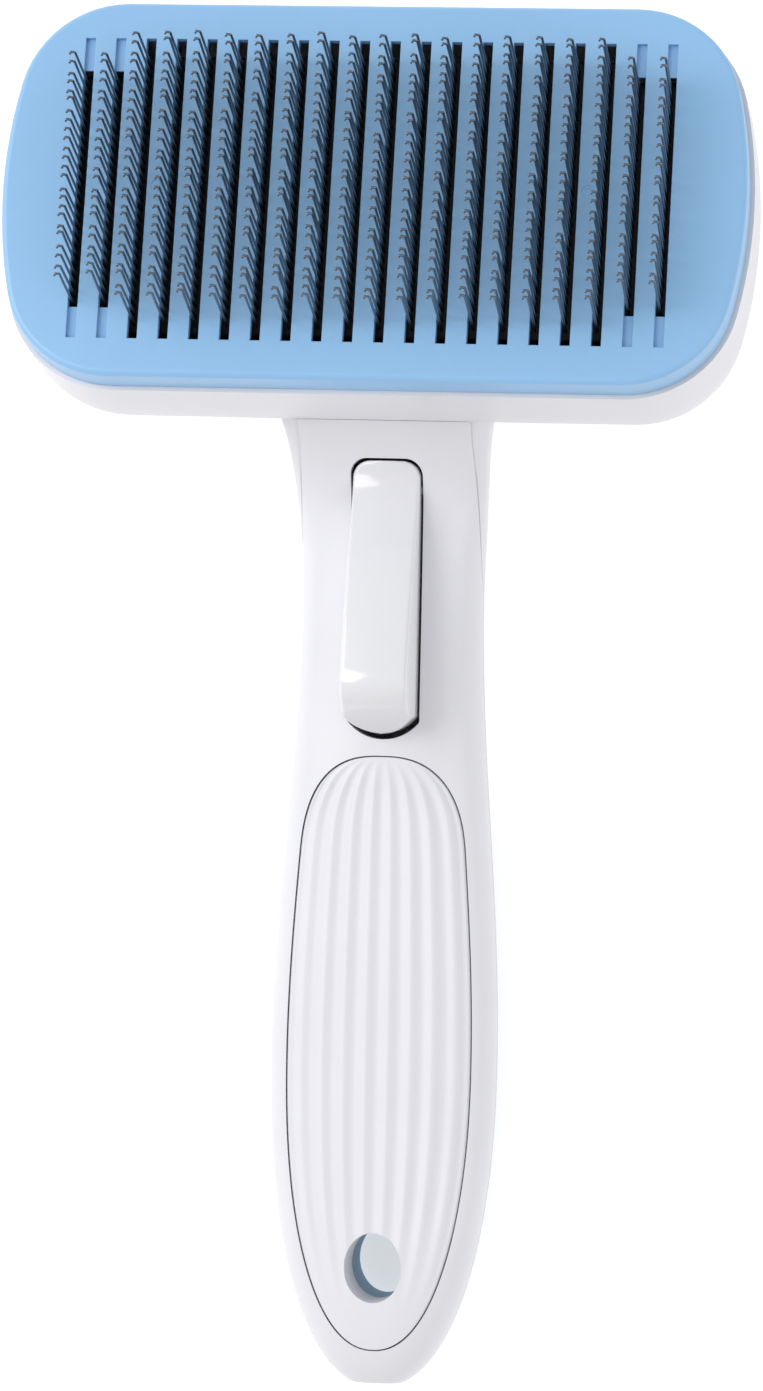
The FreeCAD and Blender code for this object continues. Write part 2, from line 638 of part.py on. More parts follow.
flange = rod(2.9, V(0, behind(d.trigger_spring_at), d.trigger_spring_top),
             V(0, behind(d.trigger_spring_at), crest_z)).common(trigger_block)
trigger = trigger.multiFuse([pusher, spring_stud, flange])
trigger = trigger.cut(rod(d.trigger_pin_radius + d.fit_gap, trigger_axis - V(9, 0, 0), trigger_axis + V(9, 0, 0)))
shaped("trigger", trigger.removeSplitter())

yoke_axis = head_point(0, -d.yoke_y, -d.yoke_depth)
pivot = (d.rocker_at, d.rocker_height)
bend = (d.rail_bend_at, d.rail_bend_height)
yoke = (d.head_y - yoke_axis.y, yoke_axis.z)


def rail(x):
    """One side rail of the rocker: two straight runs with round ends."""
    parts = []
    for start, end in ((pivot, bend), (bend, yoke)):
        a, b = V(0, behind(start[0]), start[1]), V(0, behind(end[0]), end[1])
        side = V(0, -(b - a).z, (b - a).y).normalize() * d.rail_half
        wire = Part.makePolygon([a + side, b + side, b - side, a - side, a + side])
        parts.append(Part.Face(wire).extrude(V(x[1] - x[0], 0, 0)))
    for place, radius in ((pivot, d.rocker_boss_radius), (bend, d.rail_half), (yoke, 2.6)):
        centre = V(0, behind(place[0]), place[1])
        parts.append(rod(radius, centre, centre + V(x[1] - x[0], 0, 0)))
    solid = parts[0].multiFuse(parts[1:])
    solid.translate(V(x[0], 0, 0))
    return solid


rails = [rail((d.rail_inner, d.rail_outer)), rail((-d.rail_outer, -d.rail_inner))]
pad_axis = V(0, behind(d.pad_at), d.pad_height)
across = V(d.rail_outer, 0, 0)
neck_bar = V(0, behind(26), bend[1] + (d.rail_bend_at - 26) / (bend[0] - yoke[0]) * (yoke[1] - bend[1]))
rocker = rails[0].multiFuse([rails[1], rod(d.rocker_boss_radius, rocker_axis - across, rocker_axis + across),
                             rod(d.pad_radius, pad_axis - across, pad_axis + across),
                             rod(d.rail_half, neck_bar - across, neck_bar + across)])
rocker = rocker.cut(rod(d.rocker_pin_radius + d.fit_gap, rocker_axis - V(9, 0, 0), rocker_axis + V(9, 0, 0)))
rocker = rocker.cut(rod(d.yoke_pin_radius + 0.01, yoke_axis - V(13, 0, 0), yoke_axis + V(13, 0, 0)))
shaped("rocker_arm", rocker.removeSplitter())


def cross_pin(label, radius, half, centre):
    """A steel pin across the handle, centred on the middle plane."""
    pin = doc.addObject("Part::Cylinder", label)
    bind(pin, Radius=f"dims.{radius}", Height=f"2 * dims.{half}")
    pin.Placement = FreeCAD.Placement(centre - V(float(sheet.get(half)), 0, 0),
                                      FreeCAD.Rotation(V(0, 1, 0), 90))
    return keep(pin, label)


cross_pin("trigger_pin", "trigger_pin_radius", "trigger_pin_half", trigger_axis)
cross_pin("rocker_pin", "rocker_pin_radius", "rocker_pin_half", rocker_axis)
cross_pin("yoke_pin", "yoke_pin_radius", "yoke_pin_half", yoke_axis)


# ---- springs and screws ----

def coil(radius, wire, turns, low, high):
    """A round-wire spring standing on z, between two heights."""
    tall = high - low - 2 * wire
    helix = Part.makeHelix(tall / turns, tall, radius)
    section = Part.Wire([Part.Circle(V(radius, 0, 0), V(0, 1, 0), wire).toShape()])
    solid = Part.Wire(helix).makePipeShell([section], True, True)
    solid.translate(V(0, 0, low + wire))
    return solid


board_rear = d.cushion_front + d.cushion_thick + d.board_thick
return_spring = coil(d.spring_radius, d.spring_wire, d.spring_turns, -d.spring_seat + 0.05, -board_rear - 0.05)
for side, name in ((-1, "return_spring_left"), (1, "return_spring_right")):
    spring = return_spring.copy()
    spring.translate(V(side * d.spring_x, 0, 0))
    shaped(name, placed(spring))

trigger_spring = coil(d.trigger_spring_radius, 0.25, d.trigger_spring_turns,
                      d.trigger_spring_foot, d.trigger_spring_top - 0.05)
trigger_spring.translate(V(0, behind(d.trigger_spring_at), 0))
shaped("trigger_spring", trigger_spring)


def screw(length):
    """A pan-head screw with a cross recess, its head's seat at z = 0 and its shank up +z."""
    head = Part.makeCylinder(d.screw_head_radius, d.screw_head_height, V(0, 0, -d.screw_head_height))
    head = head.makeFillet(0.6, [e for e in head.Edges if e.BoundBox.ZMax < -d.screw_head_height + 1e-3])
    shank = Part.makeCylinder(d.screw_radius - 0.25, length)
    recess = [box((-1.4, 1.4), (-0.35, 0.35), (-d.screw_head_height - 1, -d.screw_head_height + 1.0)),
              box((-0.35, 0.35), (-1.4, 1.4), (-d.screw_head_height - 1, -d.screw_head_height + 1.0))]
    threads = [Part.makeCone(d.screw_radius - 0.25, d.screw_radius, 0.3, V(0, 0, 2.0 + 1.1 * k)).fuse(
        Part.makeCone(d.screw_radius, d.screw_radius - 0.25, 0.3, V(0, 0, 2.3 + 1.1 * k)))
        for k in range(int((length - 3) / 1.1))]
    return head.fuse(shank).multiFuse(threads).cut(recess[0].fuse(recess[1])).removeSplitter()


face_screws = []
for x, y in corner_places():
    one = screw(d.screw_length)
    one.translate(V(x, y, -d.screw_seat))
    face_screws.append(one)
shaped("face_plate_screws", placed(Part.makeCompound(face_screws)))

handle_screws = []
for at in (d.handle_screw_near, d.handle_screw_far):
    one = screw(d.handle_screw_length)
    one.translate(V(0, behind(at), d.handle_screw_seat))
    handle_screws.append(one)
shaped("handle_screws", Part.makeCompound(handle_screws))


# ---- checks and files ----

doc.recompute()
for obj in doc.Objects:
    if "Invalid" in obj.State or "Error" in obj.State:
        raise RuntimeError(f"{obj.Label} failed: {obj.State}")
os.makedirs("parts", exist_ok=True)
for obj in nodes:
    shape = obj.Shape
    if shape.isNull() or not shape.isValid():
        raise RuntimeError(f"{obj.Label} has no valid shape")
    limits = shape.BoundBox
    print(f"{obj.Label:22s} solids {len(shape.Solids):3d} volume {shape.Volume:10.2f} "
          f"x {limits.XMin:7.2f} {limits.XMax:7.2f} y {limits.YMin:7.2f} {limits.YMax:7.2f} "
          f"z {limits.ZMin:7.2f} {limits.ZMax:7.2f}")
    shape.exportStep(f"parts/{obj.Label}.step")
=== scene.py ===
import json
import math
import random

import bmesh
import bpy
from mathutils import Matrix, Vector


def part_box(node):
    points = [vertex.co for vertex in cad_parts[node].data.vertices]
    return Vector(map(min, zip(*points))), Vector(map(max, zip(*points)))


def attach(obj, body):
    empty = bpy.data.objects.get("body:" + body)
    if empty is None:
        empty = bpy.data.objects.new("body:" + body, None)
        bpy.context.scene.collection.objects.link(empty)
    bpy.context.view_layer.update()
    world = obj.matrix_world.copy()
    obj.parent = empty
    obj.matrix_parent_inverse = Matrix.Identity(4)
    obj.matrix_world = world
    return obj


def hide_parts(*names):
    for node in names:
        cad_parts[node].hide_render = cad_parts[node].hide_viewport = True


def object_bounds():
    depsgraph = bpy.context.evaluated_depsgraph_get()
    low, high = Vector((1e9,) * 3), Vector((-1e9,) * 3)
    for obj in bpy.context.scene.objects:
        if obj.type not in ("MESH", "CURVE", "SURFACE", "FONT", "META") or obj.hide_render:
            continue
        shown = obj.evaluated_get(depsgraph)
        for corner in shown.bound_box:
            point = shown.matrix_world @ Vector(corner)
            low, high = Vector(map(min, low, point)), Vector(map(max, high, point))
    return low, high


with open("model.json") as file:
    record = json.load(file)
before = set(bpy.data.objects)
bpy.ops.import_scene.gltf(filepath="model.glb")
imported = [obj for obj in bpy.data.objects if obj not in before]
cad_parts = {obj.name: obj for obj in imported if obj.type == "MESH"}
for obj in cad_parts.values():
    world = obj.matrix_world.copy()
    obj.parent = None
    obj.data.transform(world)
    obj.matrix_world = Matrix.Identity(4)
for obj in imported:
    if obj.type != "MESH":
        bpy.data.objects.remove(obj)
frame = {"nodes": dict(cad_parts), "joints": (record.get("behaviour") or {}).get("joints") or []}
cad_box = [[float(value) for value in corner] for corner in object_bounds()]


# ---- rear shell ----
# The white ABS moulding that is both the deep housing of the head and the back half of the
# handle. The face plate closes its front, and the front shell is screwed onto its handle.

MM = 0.001
slide_axis = next(Vector(j["axis"]) for j in frame["joints"] if j["name"] == "carrier_slide")
OUT = -slide_axis.normalized()
UP_FACE = Vector((0, OUT.z, -OUT.y))
FACE_HALF_WIDTH, FACE_HALF_HEIGHT, FACE_ROUND = 52.0, 27.1, 0.9
plate_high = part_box("face_plate")[1]
FACE_Y = plate_high[1] / MM - (FACE_HALF_HEIGHT - FACE_ROUND) * OUT.z + FACE_ROUND * OUT.y - FACE_ROUND
FACE_Z = plate_high[2] / MM - (FACE_HALF_HEIGHT - FACE_ROUND) * OUT.y + FACE_ROUND * OUT.z - FACE_ROUND
WALL = 2.0
HANDLE_HALF, HANDLE_MID, NECK_HALF, NECK_AT = 16.2, 8.8, 12.9, 56.0
TIP_FROM, TIP_LENGTH, TIP_END, TIP_POWER = 122.2, 47.1, 168.4, 2.2
RIM_DEPTH, DOME_FRONT, DOME_BACK, RIM_OVERHANG = 14.0, 5.7, 35.3, 0.57


def on_head(x, y, z):
    """A place on the head: across, up the face, and out of it, in millimetres."""
    centre = Vector((0, FACE_Y, FACE_Z))
    return centre + Vector((x, 0, 0)) + UP_FACE * y + OUT * z


def behind(distance):
    """The Y of a place on the handle, this far behind the middle of the face."""
    return FACE_Y - distance


def head_outline(inset, count=96, corner=15.0, side=70.0):
    """The head's outline, drawn in by an inset: bowed sides and round corners."""
    wide, tall = FACE_HALF_WIDTH - inset, FACE_HALF_HEIGHT - inset
    corner, side = max(corner - inset, 0.6), side - inset
    side_x = wide - side
    corner_y = tall - corner
    corner_x = side_x + math.sqrt((side - corner) ** 2 - corner_y ** 2)
    turn = math.atan2(corner_y, corner_x - side_x)
    quarter = []
    side_steps, corner_steps, top_steps = 6, 12, count // 4 - 18
    for k in range(side_steps):
        angle = turn * k / side_steps
        quarter.append((side_x + side * math.cos(angle), side * math.sin(angle)))
    for k in range(corner_steps):
        angle = turn + (math.pi / 2 - turn) * k / corner_steps
        quarter.append((corner_x + corner * math.cos(angle), corner_y + corner * math.sin(angle)))
    for k in range(top_steps):
        quarter.append((corner_x * (1 - k / top_steps), tall))
    loop = list(quarter)
    loop += [(-x, y) for x, y in [(0.0, tall)] + quarter[:0:-1]]
    loop += [(-x, -y) for x, y in quarter]
    loop += [(x, -y) for x, y in [(0.0, tall)] + quarter[:0:-1]]
    return loop


def half_width(at):
    """Half the handle's width at a distance behind the middle of the face."""
    if at < NECK_AT:
        root = max(0.0, (36.5 - at) / 8.0)
        return NECK_HALF + 1.7 * ((NECK_AT - max(at, 20.0)) / 24.5) ** 1.6 + 0.8 * min(root, 2.0) ** 2
    if at < TIP_FROM:
        return NECK_HALF + 3.3 * (1 - math.cos(math.pi * (at - NECK_AT) / 66.2)) / 2
    ratio = min(1.0, (at - TIP_FROM) / TIP_LENGTH)
    return HANDLE_HALF * (1 - ratio ** TIP_POWER) ** (1 / TIP_POWER)


def rise(at, start, height, length, power):
    """A smooth rise towards the head, level once it is inside it."""
    return height * (max(0.0, start - max(at, 28.0)) / length) ** power


def end_round(at):
    """How full the handle's depth still is towards its tip, from 1 down to 0."""
    ratio = min(1.0, max(0.0, (at - 138.0) / 31.3))
    return (1 - ratio ** 2.6) ** (1 / 2.6)


def side_height(at):
    """Height of the handle's widest line."""
    return HANDLE_MID + rise(at, 52.0, 9.6, 19.2, 1.7)


def top_height(at):
    """Height of the handle's front along its middle."""
    return HANDLE_MID + 8.2 * end_round(at) + rise(at, 44.0, 8.0, 13.6, 1.8)


def back_height(at):
    """Height of the handle's back along its middle."""
    return HANDLE_MID * (1 - end_round(at)) + 6.0 * (max(0.0, 48.0 - at) / 36.0) ** 2.2


def parting_share(at):
    """How far up the front half the joint of the two halves climbs near the head."""
    return rise(at, 55.0, 0.65, 25.0, 0.5)


def surface_height(x, at, front=True, inset=0.0):
    """Height of the handle's front or back at a place across it."""
    share = min(1.0, abs(x) / max(half_width(at) - inset, 0.01))
    bow = (1 - share ** 2.5) ** (1 / 2.5)
    mid = side_height(at)
    if front:
        return mid + (top_height(at) - inset - mid) * bow
    return mid - (mid - back_height(at) - inset) * bow


def section(at, inset, start, end, count):
    """Points around the handle between two angles from its +X side."""
    wide = half_width(at) - inset
    mid = side_height(at)
    points = []
    for k in range(count):
        angle = start + (end - start) * k / (count - 1)
        c, s = math.cos(angle), math.sin(angle)
        tall = top_height(at) - inset - mid if s > 0 else mid - back_height(at) - inset
        x = wide * math.copysign(abs(c) ** 0.8, c)
        points.append(Vector((x, behind(at), mid + tall * math.copysign(abs(s) ** 0.8, s))))
    return points


def parting_angle(at, gap):
    """Where the joint of the two halves lies on the section."""
    share = parting_share(at) + gap / (top_height(at) - side_height(at))
    return math.asin(share ** 1.25)


def stations(first, last, step=1.6):
    """Places along the handle, closer together where its tip turns in."""
    even_to, turns = 151.0, 18
    count = round((even_to - first) / step)
    places = [first + (even_to - first) * k / count for k in range(count)]
    length = last - TIP_FROM
    turn = math.acos((even_to - TIP_FROM) / length)
    return places + [TIP_FROM + length * math.cos(turn * (1 - k / turns)) for k in range(turns + 1)]


def solid_from_loops(name, loops, smooth_angle=32):
    """A closed mesh through rings of points, its two ends filled."""
    mesh = bmesh.new()
    rings = [[mesh.verts.new(p * MM) for p in loop] for loop in loops]
    for a, b in zip(rings, rings[1:]):
        for k in range(len(a)):
            j = (k + 1) % len(a)
            mesh.faces.new((a[k], a[j], b[j], b[k]))
    mesh.faces.new(rings[0][::-1])
    mesh.faces.new(rings[-1])
    bmesh.ops.recalc_face_normals(mesh, faces=mesh.faces)
    return finished(name, mesh, smooth_angle)


def finished(name, mesh, smooth_angle=32):
    """A new object from a bmesh, smooth except at its real corners."""
    data = bpy.data.meshes.new(name)
    mesh.to_mesh(data)
    mesh.free()
    piece = bpy.data.objects.new(name, data)
    bpy.context.scene.collection.objects.link(piece)
    soften(piece, smooth_angle)
    return piece


def soften(piece, smooth_angle=32):
    """Shades a piece smooth except at corners sharper than an angle."""
    data = piece.data
    data.polygons.foreach_set("use_smooth", [True] * len(data.polygons))
    data.set_sharp_from_angle(angle=math.radians(smooth_angle))


def carve(piece, tool, way="DIFFERENCE"):
    """Cuts a tool out of a piece, or joins it on, and deletes the tool."""
    step = piece.modifiers.new("carve", "BOOLEAN")
    step.operation, step.object, step.solver = way, tool, "EXACT"
    graph = bpy.context.evaluated_depsgraph_get()
    data = bpy.data.meshes.new_from_object(piece.evaluated_get(graph))
    piece.modifiers.clear()
    piece.data = data
    bpy.data.objects.remove(tool)


def handle_blank(name, inset, front, gap=0.0, first=12.0):
    """The handle, or one half of it, as a closed form."""
    loops = []
    for at in stations(first, TIP_END - inset):
        if front is None:
            ring = section(at, inset, 0.0, 2 * math.pi, 73)[:-1]
        else:
            start = parting_angle(at, gap)
            span = (start, math.pi - start) if front else (math.pi - start, 2 * math.pi + start)
            ring = section(at, inset, span[0], span[1], 41)
        loops.append(ring)
    return solid_from_loops(name, loops)


def housing_blank(name, inset, front, back):
    """The head's form: a straight rim, then sides that turn in to a nearly flat back."""
    profile = [(inset, front), (inset, front + 0.5 * (RIM_DEPTH - front)), (inset, RIM_DEPTH)]
    for k in range(1, 15):
        angle = math.pi / 2 * k / 14
        profile.append((inset + (14.1 - inset * 0.88) * (1 - math.cos(angle)),
                        RIM_DEPTH + (back - RIM_DEPTH) * math.sin(angle)))
    loops = [[on_head(x, y, -depth) for x, y in head_outline(drawn_in - RIM_OVERHANG)]
             for drawn_in, depth in profile]
    return solid_from_loops(name, loops)


def tint(nodes, links, coordinates, colour, spread, size):
    """A base colour with the faint unevenness of a moulding's pigment."""
    noise = nodes.new("ShaderNodeTexNoise")
    noise.inputs["Scale"].default_value = size
    noise.inputs["Detail"].default_value = 4
    ramp = nodes.new("ShaderNodeValToRGB")
    for stop, place, gain in zip(ramp.color_ramp.elements, (0.3, 0.7), (1 - spread, 1 + spread)):
        stop.position = place
        stop.color = [min(1.0, channel * gain) for channel in colour] + [1]
    links.new(coordinates.outputs["Object"], noise.inputs["Vector"])
    links.new(noise.outputs["Fac"], ramp.inputs["Fac"])
    return ramp.outputs["Color"]


def moulded(name, colour, roughness, grain, grain_size=2600, coat=0.0, spread=0.02):
    """Moulded plastic: even pigment, a fine spark-eroded grain, and a soft or polished sheen."""
    material = bpy.data.materials.new(name)
    material.use_nodes = True
    nodes, links = material.node_tree.nodes, material.node_tree.links
    shader = nodes["Principled BSDF"]
    coordinates = nodes.new("ShaderNodeTexCoord")
    links.new(tint(nodes, links, coordinates, colour, spread, 38), shader.inputs["Base Color"])
    shader.inputs["IOR"].default_value = 1.5
    shader.inputs["Coat Weight"].default_value = coat
    shader.inputs["Coat Roughness"].default_value = 0.08
    patches = nodes.new("ShaderNodeTexNoise")
    patches.inputs["Scale"].default_value = 90
    patches.inputs["Detail"].default_value = 3
    sheen = nodes.new("ShaderNodeMapRange")
    sheen.inputs["To Min"].default_value = roughness * 0.85
    sheen.inputs["To Max"].default_value = roughness * 1.15
    links.new(coordinates.outputs["Object"], patches.inputs["Vector"])
    links.new(patches.outputs["Fac"], sheen.inputs["Value"])
    links.new(sheen.outputs["Result"], shader.inputs["Roughness"])
    fine = nodes.new("ShaderNodeTexNoise")
    fine.inputs["Scale"].default_value = grain_size
    fine.inputs["Detail"].default_value = 2
    bump = nodes.new("ShaderNodeBump")
    bump.inputs["Strength"].default_value = grain
    bump.inputs["Distance"].default_value = 0.00005
    links.new(coordinates.outputs["Object"], fine.inputs["Vector"])
    links.new(fine.outputs["Fac"], bump.inputs["Height"])
    links.new(bump.outputs["Normal"], shader.inputs["Normal"])
    return material


def bar(name, centre_low, centre_high, radius, count=40):
    """A round bar between two points, for cutting holes and raising bosses."""
    axis = (centre_high - centre_low).normalized()
    side = axis.orthogonal().normalized()
    other = axis.cross(side)
    loops = []
    for centre in (centre_low, centre_high):
        loops.append([centre + side * radius * math.cos(2 * math.pi * k / count)
                      + other * radius * math.sin(2 * math.pi * k / count) for k in range(count)])
    return solid_from_loops(name, loops)


white_abs = moulded("white_abs", (0.70, 0.70, 0.735), 0.34, 0.18)
rear_shell = handle_blank("rear_housing", 0.0, False)
carve(rear_shell, housing_blank("dome", 0.0, DOME_FRONT, DOME_BACK), "UNION")
carve(rear_shell, housing_blank("dome_inside", WALL, 3.0, DOME_BACK - WALL))
carve(rear_shell, handle_blank("handle_inside", WALL, None, first=12.0))
NECK_CLEAR, NECK_CLEAR_FROM, NECK_CLEAR_TO = 10, 31.5, 60
neck_plan = [(-NECK_CLEAR, NECK_CLEAR_TO), (NECK_CLEAR, NECK_CLEAR_TO), (NECK_CLEAR, NECK_CLEAR_FROM),
             (-NECK_CLEAR, NECK_CLEAR_FROM)]
neck_room = [[Vector((x, behind(at), height)) for x, at in neck_plan] for height in (12.5, 30)]
carve(rear_shell, solid_from_loops("neck_room", neck_room))
POST_X, POST_Y, SCREW_SEAT, SCREW_HEAD = 38.7, 21.6, 24.5, 3.0
for across in (-POST_X, POST_X):
    for up in (-POST_Y, POST_Y):
        seat, outside = on_head(across, up, -SCREW_SEAT), on_head(across, up, -40)
        carve(rear_shell, bar("screw_recess", seat, outside, SCREW_HEAD))

GRIP_TOP, GRIP_END, GRIP_MARGIN, SEAT_GAP, SEAT_DEEP = 79.0, 163.3, 3.1, 0.2, -1.5
HOLE_AT, HOLE_HALF_WIDTH, HOLE_HALF_LENGTH, SLEEVE_SEAT = 151.5, 4.1, 5.0, 1.3


def grip_half(at, gap=0.0):
    """Half the width of a grip's outline at a place on the handle."""
    top, end, margin = GRIP_TOP - gap, GRIP_END + gap, GRIP_MARGIN - gap
    if at >= TIP_FROM:
        ratio = min(1.0, (at - TIP_FROM) / (end - TIP_FROM))
        return (HANDLE_HALF - margin) * (1 - ratio ** TIP_POWER) ** (1 / TIP_POWER)
    ratio = min(1.0, max(0.0, (top + 14.0 - at) / 14.0))
    return (half_width(at) - margin) * (1 - ratio ** 2.6) ** (1 / 2.6)


def grip_rows(gap, steps=110):
    """Places along a grip, closer together at its two ends."""
    low, high = GRIP_TOP - gap, GRIP_END + gap
    return [low + (high - low) * (1 - math.cos(math.pi * k / steps)) / 2 for k in range(1, steps)]


def grip_block(name, front, gap, outer, inner, columns=72):
    """A closed slab over a grip's outline, between two heights above the handle's surface.

    outer and inner give those heights at a share across the grip (-1 to 1) and a place along it."""
    mesh = bmesh.new()
    sign = 1 if front else -1
    skins = []
    for lift in (outer, inner):
        rows = []
        for at in grip_rows(gap):
            wide = grip_half(at, gap)
            row = []
            for k in range(columns + 1):
                share = math.sin(math.pi / 2 * (2 * k / columns - 1))
                x = wide * share
                height = surface_height(x, at, front) + sign * lift(share, at)
                row.append(mesh.verts.new(Vector((x, behind(at), height)) * MM))
            rows.append(row)
        skins.append(rows)
    for rows in skins:
        for a, b in zip(rows, rows[1:]):
            for k in range(columns):
                mesh.faces.new((a[k], a[k + 1], b[k + 1], b[k]))
    top, low = skins
    edge_top = top[0] + [row[-1] for row in top[1:-1]] + top[-1][::-1] + [row[0] for row in top[-2:0:-1]]
    edge_low = low[0] + [row[-1] for row in low[1:-1]] + low[-1][::-1] + [row[0] for row in low[-2:0:-1]]
    for k in range(len(edge_top)):
        j = (k + 1) % len(edge_top)
        mesh.faces.new((edge_top[k], edge_top[j], edge_low[j], edge_low[k]))
    bmesh.ops.recalc_face_normals(mesh, faces=mesh.faces)
    return finished(name, mesh)


def hole_bar(name, grow, low, high, count=64):
    """The oval of the hanging hole as an upright bar."""
    loops = []
    for height in (low, high):
        loops.append([Vector(((HOLE_HALF_WIDTH + grow) * math.cos(2 * math.pi * k / count),
                              behind(HOLE_AT) + (HOLE_HALF_LENGTH + grow) * math.sin(2 * math.pi * k / count),
                              height)) for k in range(count)])
    return solid_from_loops(name, loops)


carve(rear_shell, grip_block("rear_seat", False, SEAT_GAP, lambda s, at: 4.0, lambda s, at: SEAT_DEEP))
carve(rear_shell, hole_bar("rear_hole", SLEEVE_SEAT, -6, 30))
soften(rear_shell)
rear_shell.data.materials.clear()
rear_shell.data.materials.append(white_abs)
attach(rear_shell, "housing")
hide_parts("rear_shell")


# ---- pins, springs and screws ----
# Ground steel pins and drawn spring wire, bright from the works. The pins are pressed into ribs
# of the shells; the screws are driven from the back into the posts and bosses.

def metal(name, colour, roughness, streak):
    """Bare steel with fine lengthwise drawing marks."""
    material = bpy.data.materials.new(name)
    material.use_nodes = True
    nodes, links = material.node_tree.nodes, material.node_tree.links
    shader = nodes["Principled BSDF"]
    coordinates = nodes.new("ShaderNodeTexCoord")
    shader.inputs["Metallic"].default_value = 1.0
    links.new(tint(nodes, links, coordinates, colour, 0.08, 420), shader.inputs["Base Color"])
    marks = nodes.new("ShaderNodeTexNoise")
    marks.inputs["Scale"].default_value = streak
    marks.inputs["Detail"].default_value = 3
    spread = nodes.new("ShaderNodeMapRange")
    spread.inputs["To Min"].default_value = roughness * 0.7
    spread.inputs["To Max"].default_value = roughness * 1.3
    links.new(coordinates.outputs["Object"], marks.inputs["Vector"])
    links.new(marks.outputs["Fac"], spread.inputs["Value"])
    links.new(spread.outputs["Result"], shader.inputs["Roughness"])
    bump = nodes.new("ShaderNodeBump")
    bump.inputs["Strength"].default_value = 0.15
    bump.inputs["Distance"].default_value = 0.00003
    links.new(marks.outputs["Fac"], bump.inputs["Height"])
    links.new(bump.outputs["Normal"], shader.inputs["Normal"])
    return material


def repaint(node, material):
    """Gives a CAD piece its finish."""
    data = frame["nodes"][node].data
    if not data.materials:
        data.materials.append(material)
    for slot in frame["nodes"][node].material_slots:
        slot.material = material


bright_steel = metal("bright_steel", (0.62, 0.63, 0.65), 0.28, 900)
for node in ("trigger_pin", "rocker_pin", "yoke_pin", "return_spring_left", "return_spring_right",
             "trigger_spring", "face_plate_screws", "handle_screws"):
    repaint(node, bright_steel)


# ---- rocker arm and needle board ----
# Dark nylon mouldings inside the head and neck: the lever that the trigger presses, and the
# board that it draws back along the four posts.

dark_nylon = moulded("dark_nylon", (0.045, 0.05, 0.06), 0.5, 0.5, grain_size=1800, spread=0.08)
repaint("rocker_arm", dark_nylon)
repaint("needle_board", dark_nylon)


# ---- cushion ----
# A black rubber pad on the board that grips every wire where it passes through. Its four
# corners are cut away round the posts, and it shows only through the slots.

PAD_FRONT, PAD_BACK = -3.2, -5.6
PAD_X, PAD_Y, NOTCH_X, NOTCH_Y = 42.5, 20.3, 34.4, 17.3


def notched_outline(inset):
    """The pad's outline with its four corners cut out."""
    x, y, nx, ny = PAD_X - inset, PAD_Y - inset, NOTCH_X - inset, NOTCH_Y - inset
    quarter = [(x, ny), (nx, ny), (nx, y)]
    loop = quarter + [(-px, py) for px, py in quarter[::-1]]
    return loop + [(-px, -py) for px, py in quarter] + [(px, -py) for px, py in quarter[::-1]]


pad_profile = [(0.5, PAD_BACK), (0.12, PAD_BACK + 0.12), (0.0, PAD_BACK + 0.5), (0.0, PAD_FRONT - 0.5),
               (0.15, PAD_FRONT - 0.15), (0.5, PAD_FRONT)]
cushion = solid_from_loops("needle_pad", [[on_head(x, y, z) for x, y in notched_outline(inset)]
                                          for inset, z in pad_profile], smooth_angle=50)
black_rubber = moulded("black_rubber", (0.012, 0.014, 0.022), 0.62, 0.9, grain_size=900, spread=0.15)
cushion.data.materials.append(black_rubber)
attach(cushion, "needle_carrier")
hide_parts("cushion")


# ---- wire rows ----
# Staples of drawn steel wire, pushed through the pad from behind in twenty rows. Each leg leans
# to one side and ends in a short hook that points back the other way.

ROWS, ROW_PITCH, WIRE_REACH, WIRE_LEAN, WIRE_THICK = 20, 4.3, 12.65, 0.45, 0.185
STAPLE_PITCH, STAPLE_WIDTH, HOOK, HOOK_ROUND = 2.78, 1.36, 0.75, 0.27
FOOT_SHIFT, FOOT_DEPTH = 0.3, PAD_BACK + 0.2
OUTER_ROWS = (0, 1, ROWS - 2, ROWS - 1)
wire_steel = metal("wire_steel", (0.15, 0.18, 0.22), 0.38, 1400)
chance = random.Random(7)


def leg_path(x, y, tip_shift, reach, hook):
    """Points along one leg, from the pad to the end of its hook."""
    foot = Vector((x - FOOT_SHIFT, y, FOOT_DEPTH))
    top = Vector((x + WIRE_LEAN, y + tip_shift, reach - WIRE_THICK - HOOK_ROUND))
    path = [foot, foot.lerp(top, 0.5), top]
    for k in range(1, 6):
        angle = math.radians(82) * k / 5
        path.append(top + Vector((-HOOK_ROUND * (1 - math.cos(angle)), 0, HOOK_ROUND * math.sin(angle))))
    heading = (path[-1] - path[-2]).normalized()
    path.append(path[-1] + heading * (hook - HOOK_ROUND - 0.14))
    path.append(path[-1] + heading * 0.08 + Vector((0, -0.12, -0.02)))
    path.append(path[-1] + Vector((-0.03, -0.14, -0.06)))
    return path


def wire_along(mesh, path, radius, sides=8):
    """A round wire along a path on the head."""
    rings = []
    for k, point in enumerate(path):
        ahead = (path[min(k + 1, len(path) - 1)] - path[max(k - 1, 0)]).normalized()
        across = Vector((0, 1, 0))
        other = ahead.cross(across).normalized()
        ring = []
        for j in range(sides):
            angle = 2 * math.pi * j / sides
            place = point + (across * math.cos(angle) + other * math.sin(angle)) * radius
            ring.append(mesh.verts.new(on_head(*place) * MM))
        rings.append(ring)
    for a, b in zip(rings, rings[1:]):
        for j in range(sides):
            i = (j + 1) % sides
            mesh.faces.new((a[j], a[i], b[i], b[j]))
    mesh.faces.new(rings[0][::-1])
    tip = mesh.verts.new(on_head(*(path[-1] + (path[-1] - path[-2]).normalized() * radius * 0.6)) * MM)
    for j in range(sides):
        mesh.faces.new((rings[-1][j], rings[-1][(j + 1) % sides], tip))


